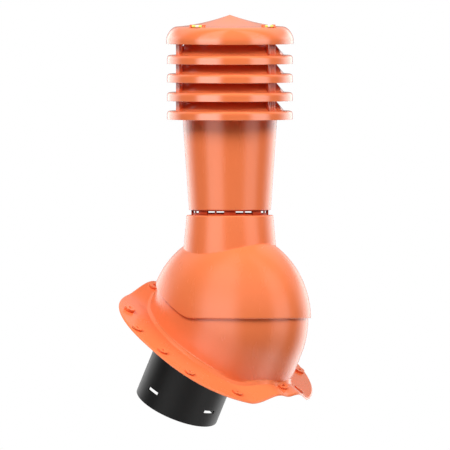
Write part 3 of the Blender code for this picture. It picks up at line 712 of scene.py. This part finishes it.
sector = 2 * math.pi / FOOT_COUNT
window_width = 0.5 * sector * SPIGOT_RADIUS - 0.5 * (FOOT_WIDTH + THIN_TOOTH)
window_turn = 0.5 * (FOOT_WIDTH + window_width) / SPIGOT_RADIUS
window_turns = [FOOT_TURN + k * sector + side * window_turn for k in range(FOOT_COUNT) for side in (-1, 1)]
window_top = PIPE_BOTTOM - WINDOW_DROP
spigot_heights = [NECK_TOP - SPIGOT_DEPTH, window_top - WINDOW_HEIGHT, window_top, shelf_top - PIPE_EDGE]
spigot_turns, spigot_open = turns_past_openings(window_turns, 0.5 * window_width / SPIGOT_RADIUS,
                                                cells_in=4, cells_between=5)
outer_side = [(SPIGOT_RADIUS, z) for z in spigot_heights]
inner_side = [(spigot_inner + SEAT_GAP, z) for z in spigot_heights]
spigot_mesh = pierced_wall("spigot_wall", outer_side, inner_side, spigot_turns, spigot_open, open_row=1)
spigot_mesh = softened(spigot_mesh, SPIGOT_EDGE, segments=2)
spigot_mesh.transform(ON_PIPE_AXIS)
dress("spigot_wall", spigot_mesh, shaded_spigot_terracotta, "upper", "tapered_pipe")

foot_depth = FOOT_REACH + 0.5 * SPIGOT_WALL
foot_bottom = NECK_TOP + SEAT_GAP
foot_top = PIPE_BOTTOM + 0.5 * PIPE_WALL
feet = grown_mesh("spigot_feet", posts_round_an_axis, {
    "Count": FOOT_COUNT, "Circle Radius": SPIGOT_RADIUS + FOOT_REACH - 0.5 * foot_depth,
    "Thickness": foot_depth, "Width": FOOT_WIDTH, "Height": foot_top - foot_bottom,
    "Middle Height": 0.5 * (foot_top + foot_bottom), "First Turn": FOOT_TURN,
    "Rib Count": 0, "Material": shaded_spigot_terracotta}, bevel=FOOT_EDGE)
feet.transform(ON_PIPE_AXIS)
dress("spigot_feet", feet, shaded_spigot_terracotta, "upper", "tapered_pipe")


# Louvre rings: four like mouldings stacked on their own posts. Each has a cone that keeps rain from blowing
# in, a flat ring and a rounded lip; the lowest also has the collar that grips the pipe.
RING_COUNT = 4
RING_PITCH = 0.0270
RING_RADIUS = 0.0914
RING_DEPTH = 0.0134
RING_WALL = 0.0022
RING_FLAT_RADIUS = 0.0815
RING_FLAT_FALL = 0.0008
CONE_FOOT_RADIUS = 0.0785
CONE_TOP_RADIUS = 0.0630
CONE_RISE = 0.0185
CONE_FOOT_INNER = 0.0760
PIPE_COLLAR_RADIUS = 0.0733
PIPE_COLLAR_DEPTH = 0.0125
POST_COUNT = 3
POST_RADIUS = 0.0776
POST_WIDTH = 0.0137
POST_THICKNESS = 0.0050
POST_RIBS = 3
POST_RIB_RADIUS = 0.0016
POST_EDGE = 0.0005
CONE_EDGE = 0.0007
CONE_FOOT_ROUND = 0.0012
LIP_EDGE = 0.0008
PIPE_COLLAR_EDGE = 0.0006
RING_TURNS = 224
POST_RISE = RING_PITCH - RING_WALL - RING_FLAT_FALL
LOWEST_RING_TOP = PIPE_TOP + SEAT_GAP + RING_WALL
HIGHEST_RING_TOP = LOWEST_RING_TOP + (RING_COUNT - 1) * RING_PITCH

hood_terracotta = moulded_plastic("terracotta_gloss", TERRACOTTA_TONES, roughness=(0.14, 0.15),
                                  grain_depth=0.00003, ior=1.85)


def ring_corners(top, with_collar):
    """The wall of one louvre ring, from the cone's top round by the lip and back inside."""
    edge, lip = top - RING_FLAT_FALL, top - RING_DEPTH
    bend = RING_RADIUS - RING_FLAT_RADIUS
    corners = [(CONE_TOP_RADIUS, top + CONE_RISE, CONE_EDGE), (CONE_FOOT_RADIUS, top, CONE_FOOT_ROUND),
               (RING_RADIUS, edge, bend), (RING_RADIUS, lip, LIP_EDGE),
               (RING_RADIUS - RING_WALL, lip, LIP_EDGE),
               (RING_RADIUS - RING_WALL, edge - RING_WALL, bend - RING_WALL)]
    if with_collar:
        bore = PIPE_TOP_RADIUS + SPIGOT_CLEARANCE
        low = top - PIPE_COLLAR_DEPTH
        corners += [(PIPE_COLLAR_RADIUS, top - RING_WALL, LIP_EDGE),
                    (PIPE_COLLAR_RADIUS, low, PIPE_COLLAR_EDGE),
                    (bore, low, PIPE_COLLAR_EDGE), (bore, top - RING_WALL, 0.0)]
    else:
        corners.append((CONE_FOOT_INNER, top - RING_WALL, LIP_EDGE))
    return corners + [(CONE_TOP_RADIUS - RING_WALL, top - RING_WALL + CONE_RISE, CONE_EDGE)]


def post_mesh(name, bottom, top):
    """A ring of the hood's posts between two heights."""
    return grown_mesh(name, posts_round_an_axis, {
        "Count": POST_COUNT, "Circle Radius": POST_RADIUS, "Thickness": POST_THICKNESS, "Width": POST_WIDTH,
        "Height": top - bottom, "Middle Height": 0.5 * (top + bottom), "First Turn": -0.5 * math.pi,
        "Rib Count": POST_RIBS, "Rib Radius": POST_RIB_RADIUS, "Material": hood_terracotta}, bevel=POST_EDGE)


for index in range(RING_COUNT):
    node = f"louvre_ring_{index + 1}"
    ring_top = HIGHEST_RING_TOP - index * RING_PITCH
    lowest_ring = index == RING_COUNT - 1
    ring_mesh = lathed(f"{node}_louvre", ring_corners(ring_top, lowest_ring), RING_TURNS, steps=8)
    ring_mesh.transform(ON_PIPE_AXIS)
    dress(f"{node}_louvre", ring_mesh, hood_terracotta, "upper", node)
    posts = post_mesh(f"{node}_posts", ring_top - 0.5 * RING_WALL, ring_top + POST_RISE - SEAT_GAP)
    posts.transform(ON_PIPE_AXIS)
    dress(f"{node}_posts", posts, hood_terracotta, "upper", node)


# Hood cap: a shallow hollow-sided cone with a deep rounded brim and a short upright band. It snaps down on
# the top ring's posts and carries the holders of two small spirit levels.
CAP_RADIUS = 0.0926
CAP_LIFT = 0.0156
CAP_BOTTOM = HIGHEST_RING_TOP + CAP_LIFT
CAP_BAND = 0.0064
CAP_BRIM_RISE = 0.0250
CAP_BRIM = CAP_BOTTOM + CAP_BRIM_RISE
CAP_BRIM_RADIUS = 0.0785
CAP_PEAK_RISE = 0.0173
CAP_CONE_RADIUS = 0.0828
CAP_CONE_POWER = 1.68
CAP_BEND_POWER = 1.25
CAP_WALL = 0.0024
CAP_EDGE = 0.0008
CAP_TURNS = 224
VIAL_RADIUS = 0.0023
VIAL_LENGTH = 0.0194
VIAL_FROM_AXIS = 0.0730
VIAL_SINK = 0.0013
POCKET_REACH = 0.0125
BED_WIDTH = 0.0090
BED_DEPTH = 0.0030
HOLDER_LENGTH = 0.0034
HOLDER_WIDTH = 0.0056
HOLDER_HEIGHT = 0.0034
HOLDER_ROOT = 0.0014
HOLDER_EDGE = 0.0008
LEVEL_TURNS = {"level_vial_side": math.pi, "level_vial_front": -math.pi / 2}


def cap_surface(radius):
    """Height of the cap's hollow-sided cone."""
    share = np.maximum(1.0 - radius / CAP_CONE_RADIUS, 0.0)
    return CAP_BRIM + CAP_PEAK_RISE * share ** CAP_CONE_POWER


def brim_bend(reach, drop, steps):
    """Quarter round of the brim, drawn in at its shoulder."""
    return [(CAP_BRIM_RADIUS + reach * math.sin(t) ** CAP_BEND_POWER,
             CAP_BOTTOM + CAP_BAND + drop * math.cos(t) ** CAP_BEND_POWER)
            for t in np.linspace(0.05, 0.5 * math.pi - 0.02, steps)]


def cap_skin():
    turn = once_round(CAP_TURNS)
    bend = CAP_RADIUS - CAP_BRIM_RADIUS
    drop = CAP_BRIM - CAP_BOTTOM - CAP_BAND
    cone = CAP_CONE_RADIUS * np.linspace(0.0, 0.94, 40) ** 1.3
    inner_side = CAP_RADIUS - CAP_WALL
    profile = [(r, cap_surface(r)) for r in cone] + brim_bend(bend, drop, 24)
    profile += [(CAP_RADIUS, CAP_BOTTOM + rise) for rise in (CAP_BAND - 0.5 * CAP_EDGE, CAP_EDGE)]
    profile += [(CAP_RADIUS - 0.25 * CAP_EDGE, CAP_BOTTOM + 0.25 * CAP_EDGE),
                (CAP_RADIUS - CAP_EDGE, CAP_BOTTOM), (inner_side + 0.5 * CAP_EDGE, CAP_BOTTOM),
                (inner_side, CAP_BOTTOM + 0.625 * CAP_EDGE)]
    profile += brim_bend(bend - CAP_WALL, drop - CAP_WALL, 12)[::-1]
    profile += [(r, cap_surface(r) - CAP_WALL) for r in cone[::-2]] + [(0.0, cap_surface(0.0) - CAP_WALL)]
    return closed_skin("hood_cap_shell", [plan_points(turn, r, z) for r, z in profile])


def around(turn, radius, height):
    """A place at an angle about Z whose own X points outwards."""
    return Matrix.Rotation(turn, 4, "Z") @ Matrix.Translation((radius, 0.0, height))


def level_blocks(name, size, radius, height, offsets=(0.0,)):
    """A block at each level, or one at each offset along it."""
    blocks = bmesh.new()
    for turn in LEVEL_TURNS.values():
        for offset in offsets:
            place = around(turn, radius, height) @ Matrix.Translation((0.0, offset, 0.0))
            bmesh.ops.create_cube(blocks, size=1.0, matrix=place @ Matrix.Diagonal((*size, 1.0)))
    mesh = bpy.data.meshes.new(name)
    blocks.to_mesh(mesh)
    blocks.free()
    return mesh


def combined(mesh, steps):
    """The same mesh with helper meshes joined to it or cut from it, one after another."""
    host = placed(mesh.name, mesh)
    helpers = [placed(helper.name, helper) for _, helper in steps]
    for (operation, _), helper in zip(steps, helpers):
        step = host.modifiers.new(helper.name, "BOOLEAN")
        step.operation = operation
        step.solver = "EXACT"
        step.object = helper
    whole = finished_mesh(host, *helpers)
    whole.set_sharp_from_angle(angle=SHARP_ANGLE)
    return whole


bed = level_blocks("level_beds", (BED_WIDTH, VIAL_LENGTH + 2 * HOLDER_LENGTH, BED_DEPTH),
                   CAP_BRIM_RADIUS - 0.5 * BED_WIDTH, CAP_BRIM - 0.5 * (CAP_WALL + BED_DEPTH))
pocket = level_blocks("level_pockets", (POCKET_REACH, VIAL_LENGTH + 2 * SEAT_GAP, 4 * VIAL_SINK),
                      VIAL_FROM_AXIS - VIAL_RADIUS - SEAT_GAP + 0.5 * POCKET_REACH, CAP_BRIM + VIAL_SINK)
cap_mesh = combined(cap_skin(), (("UNION", bed), ("DIFFERENCE", pocket)))
cap_mesh.transform(ON_PIPE_AXIS)
dress("hood_cap_shell", cap_mesh, hood_terracotta, "upper", "hood_cap")

pads = post_mesh("hood_cap_pads", HIGHEST_RING_TOP + POST_RISE, CAP_BRIM - 0.5 * CAP_WALL)
pads.transform(ON_PIPE_AXIS)
dress("hood_cap_pads", pads, hood_terracotta, "upper", "hood_cap")

holder_size = (HOLDER_WIDTH, HOLDER_LENGTH, HOLDER_HEIGHT + HOLDER_ROOT)
holder_middle = float(cap_surface(VIAL_FROM_AXIS)) + 0.5 * (HOLDER_HEIGHT - HOLDER_ROOT)
holder_offset = 0.5 * (VIAL_LENGTH + HOLDER_LENGTH) + SEAT_GAP
holders = level_blocks("level_holders", holder_size, VIAL_FROM_AXIS, holder_middle,
                       offsets=(-holder_offset, holder_offset))
holders = softened(holders, HOLDER_EDGE, segments=4)
holders.transform(ON_PIPE_AXIS)
dress("level_holders", holders, hood_terracotta, "upper", "hood_cap")


# Spirit levels: short clear tubes of yellow-green liquid with a bubble, one along the slope and one across.
# Each lies between two holders on the cap and shows when the pipe stands upright.
TUBE_WALL = 0.0004
BUBBLE_LENGTH = 0.0062
LIQUID_GAP = 0.0001
TUBE_EDGE = 0.0003
LIQUID_EDGE = 0.0002
BUBBLE_ROUND = 0.0012
TUBE_TURNS = 40
LIQUID_TURNS = 32
LIQUID_TONE = (0.75, 0.80, 0.02)
LIQUID_YELLOW = (0.95, 0.92, 0.01)
LIQUID_GREEN = (0.66, 0.90, 0.06)


def plain_material(name, colour, roughness, alpha=1.0):
    """One colour all over, see-through where alpha is low."""
    material = bpy.data.materials.new(name)
    material.use_nodes = True
    shader = material.node_tree.nodes["Principled BSDF"]
    shader.inputs["Base Color"].default_value = (*colour, 1.0)
    shader.inputs["Roughness"].default_value = roughness
    shader.inputs["IOR"].default_value = 1.45
    shader.inputs["Alpha"].default_value = alpha
    return material


def level_liquid():
    """Bright liquid whose green deepens in soft patches."""
    material = plain_material("level_liquid_green", LIQUID_TONE, 0.3)
    nodes, links = material.node_tree.nodes, material.node_tree.links
    shader = nodes["Principled BSDF"]
    place = nodes.new("ShaderNodeTexCoord")
    patches = nodes.new("ShaderNodeTexNoise")
    patches.inputs["Scale"].default_value = 160.0
    ramp = nodes.new("ShaderNodeValToRGB")
    for stop, position, tone in zip(ramp.color_ramp.elements, (0.35, 0.65), (LIQUID_YELLOW, LIQUID_GREEN)):
        stop.position = position
        stop.color = (*tone, 1.0)
    links.new(place.outputs["Object"], patches.inputs["Vector"])
    links.new(patches.outputs["Fac"], ramp.inputs["Fac"])
    links.new(ramp.outputs["Color"], shader.inputs["Base Color"])
    return material


tube_clear = plain_material("level_tube_clear", (1.0, 1.0, 1.0), 0.05, 0.08)
liquid = level_liquid()
bubble_white = plain_material("level_bubble", (0.92, 0.97, 0.86), 0.2)


def along_level(name, spans):
    """Closed round bodies along the level's length: each is a radius, two ends and how round the ends are."""
    parts = []
    for radius, start, stop, roundness in spans:
        corners = [(0.0, start, 0.0), (radius, start, roundness), (radius, stop, roundness), (0.0, stop, 0.0)]
        parts.append(lathed(name, corners, LIQUID_TURNS))
    joined = bmesh.new()
    for part in parts:
        joined.from_mesh(part)
    joined.to_mesh(parts[0])
    joined.free()
    return parts[0]


seat = CAP_BRIM - VIAL_SINK + SEAT_GAP + VIAL_RADIUS
half = 0.5 * VIAL_LENGTH
bore = VIAL_RADIUS - TUBE_WALL
fill = bore - LIQUID_GAP
inside = half - TUBE_WALL
bubble_end = 0.5 * BUBBLE_LENGTH
tube_corners = [(bore, -half, 0.0), (VIAL_RADIUS, -half, TUBE_EDGE), (VIAL_RADIUS, half, TUBE_EDGE),
                (bore, half, 0.0)]
liquid_spans = ((fill, -inside, -bubble_end, LIQUID_EDGE), (fill, bubble_end, inside, LIQUID_EDGE))
bubble_spans = ((fill, LIQUID_GAP - bubble_end, bubble_end - LIQUID_GAP, BUBBLE_ROUND),)
for node, turn in LEVEL_TURNS.items():
    lying = ON_PIPE_AXIS @ around(turn, VIAL_FROM_AXIS, seat) @ Matrix.Rotation(math.pi / 2, 4, "X")
    for part, mesh, material in (
            ("tube", lathed(f"{node}_tube", tube_corners, TUBE_TURNS), tube_clear),
            ("liquid", along_level(f"{node}_liquid", liquid_spans), liquid),
            ("bubble", along_level(f"{node}_bubble", bubble_spans), bubble_white)):
        mesh.transform(lying)
        dress(f"{node}_{part}", mesh, material, "upper", node, slot="level_liquid")


# Studio: a pale floor a little below the part and two soft lamps above and in front of it. The surround is
# white to the camera, and gives the plastic tall soft panels to mirror in front, behind and overhead.
CAMERA_AZIMUTH = math.radians(-50.0)
CAMERA_ELEVATION = math.radians(1.0)
CAMERA_DISTANCE = 3.0
PICTURE_SPAN = 0.6541
PICTURE_CENTRE = (-0.0071, 0.1366)
LAMP_DISTANCE = 1.6
FLOOR_BELOW = 0.45
FLOOR_RADIUS = 1.0
FLOOR_TONE = (0.80, 0.80, 0.80)

back = Vector((math.sin(CAMERA_AZIMUTH) * math.cos(CAMERA_ELEVATION),
               -math.cos(CAMERA_AZIMUTH) * math.cos(CAMERA_ELEVATION), math.sin(CAMERA_ELEVATION)))
right = Vector((math.cos(CAMERA_AZIMUTH), math.sin(CAMERA_AZIMUTH), 0.0))
aim = PIVOT + right * PICTURE_CENTRE[0] + back.cross(right) * PICTURE_CENTRE[1]
camera_data = bpy.data.cameras.new("camera")
camera_data.type = "ORTHO"
camera_data.ortho_scale = PICTURE_SPAN
camera_data.clip_end = 20.0
camera = placed("camera", camera_data)
camera.location = aim + back * CAMERA_DISTANCE
camera.rotation_euler = back.to_track_quat("Z", "Y").to_euler()
bpy.context.scene.camera = camera
bpy.context.scene.view_settings.view_transform = "Standard"


def lamp(name, turn, height, size, radiance):
    """A soft panel at an angle from the camera's direction, which lights but doesn't show in reflections."""
    light = bpy.data.lights.new(name, "AREA")
    light.shape = "RECTANGLE"
    light.size, light.size_y = size
    light.energy = radiance * math.pi * size[0] * size[1]
    item = placed(name, light)
    level = Vector((back.x, back.y, 0.0)).normalized()
    level.rotate(Matrix.Rotation(math.radians(turn), 3, "Z"))
    item.location = aim + level * LAMP_DISTANCE + Vector((0.0, 0.0, height))
    item.rotation_euler = (item.location - aim).to_track_quat("Z", "Y").to_euler()
    item.visible_glossy = False


lamp("key", turn=-42.0, height=1.60, size=(1.60, 0.90), radiance=9.8)
lamp("fill", turn=62.0, height=1.40, size=(1.40, 0.90), radiance=8.4)

lowest = min(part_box(node)[0].z for node in frame["nodes"])
floor_mesh = bpy.data.meshes.new("studio_floor")
disc = bmesh.new()
bmesh.ops.create_circle(disc, cap_ends=True, segments=96, radius=FLOOR_RADIUS,
                        matrix=Matrix.Translation((0.0, 0.0, lowest - FLOOR_BELOW)))
disc.to_mesh(floor_mesh)
disc.free()
floor_mesh.materials.append(plain_material("floor_pale", FLOOR_TONE, 0.9))
studio_floor = placed("studio_floor", floor_mesh)
studio_floor.visible_glossy = False

world = bpy.data.worlds.new("white_surround")
bpy.context.scene.world = world
world.use_nodes = True
world_nodes, world_links = world.node_tree.nodes, world.node_tree.links
direction = world_nodes.new("ShaderNodeTexCoord").outputs["Generated"]


def component(axis):
    """How far a ray's direction points along an axis."""
    node = world_nodes.new("ShaderNodeVectorMath")
    node.operation = "DOT_PRODUCT"
    node.inputs[1].default_value = axis
    world_links.new(direction, node.inputs[0])
    return node.outputs["Value"]


def worked(operation, *values):
    """The outcome of one sum on numbers or on other nodes' outcomes."""
    node = world_nodes.new("ShaderNodeMath")
    node.operation = operation
    for socket, value in zip(node.inputs, values):
        if isinstance(value, bpy.types.NodeSocket):
            world_links.new(value, socket)
        else:
            socket.default_value = value
    return node.outputs["Value"]


def eased(value, start, stop, low, high):
    """Runs smoothly from low to high as the value goes from start to stop."""
    node = world_nodes.new("ShaderNodeMapRange")
    node.interpolation_type = "SMOOTHSTEP"
    for label, number in (("From Min", start), ("From Max", stop), ("To Min", low), ("To Max", high)):
        node.inputs[label].default_value = number
    world_links.new(value, node.inputs["Value"])
    return node.outputs["Result"]


def panel(middle, reach, edge, brightness):
    """A tall soft panel round a bearing from the camera's direction, to its right if positive."""
    away = worked("ABSOLUTE", worked("SUBTRACT", bearing, math.radians(middle)))
    return eased(away, math.radians(reach), math.radians(reach + edge), brightness, 0.0)


forwards, sideways, upwards = component(back), component(right), component((0.0, 0.0, 1.0))
bearing = worked("ARCTAN2", sideways, forwards)

# What the plastic mirrors: a panel on each side of the camera, dimmer above and below, a bright pair behind
# the part, the room's upper rear, and the floor.
panels = worked("ADD", panel(middle=-40.0, reach=13.0, edge=18.0, brightness=3.0),
                panel(middle=58.0, reach=9.0, edge=18.0, brightness=2.2))
panels = worked("MULTIPLY", panels, eased(upwards, start=0.10, stop=0.75, low=1.0, high=0.35))
panels = worked("MULTIPLY", panels, eased(upwards, start=-0.05, stop=-0.45, low=1.0, high=0.5))
beside = worked("MULTIPLY", eased(forwards, start=-0.12, stop=-0.70, low=0.07, high=2.7),
                eased(upwards, start=0.15, stop=0.50, low=1.0, high=0.0))
aside = worked("ABSOLUTE", sideways)
beside = worked("MULTIPLY", beside, eased(aside, start=0.12, stop=0.45, low=0.08, high=1.0))
overhead = worked("MULTIPLY", eased(forwards, start=0.1, stop=-0.4, low=0.0, high=0.82),
                  eased(upwards, start=0.0, stop=0.60, low=0.15, high=1.0))
under = eased(upwards, start=-0.50, stop=-0.80, low=0.0, high=1.6)
reflected = worked("ADD", worked("ADD", panels, worked("ADD", beside, overhead)), under)

# What lights the part: the room above the camera, and a little from behind.
ahead = worked("MULTIPLY", eased(forwards, start=0.0, stop=0.9, low=0.012, high=0.90),
               eased(upwards, start=0.05, stop=0.45, low=0.05, high=1.0))
cast = worked("ADD", ahead, eased(forwards, start=-0.3, stop=-0.8, low=0.0, high=0.35))

path = world_nodes.new("ShaderNodeLightPath").outputs
strength = worked("ADD", worked("MULTIPLY", reflected, path["Is Glossy Ray"]),
                  worked("MULTIPLY", cast, worked("SUBTRACT", 1.0, path["Is Glossy Ray"])))
background = world_nodes["Background"]
world_links.new(worked("MAXIMUM", strength, path["Is Camera Ray"]), background.inputs["Strength"])
background.inputs["Color"].default_value = (1.0, 1.0, 1.0, 1.0)

bpy.context.view_layer.update()
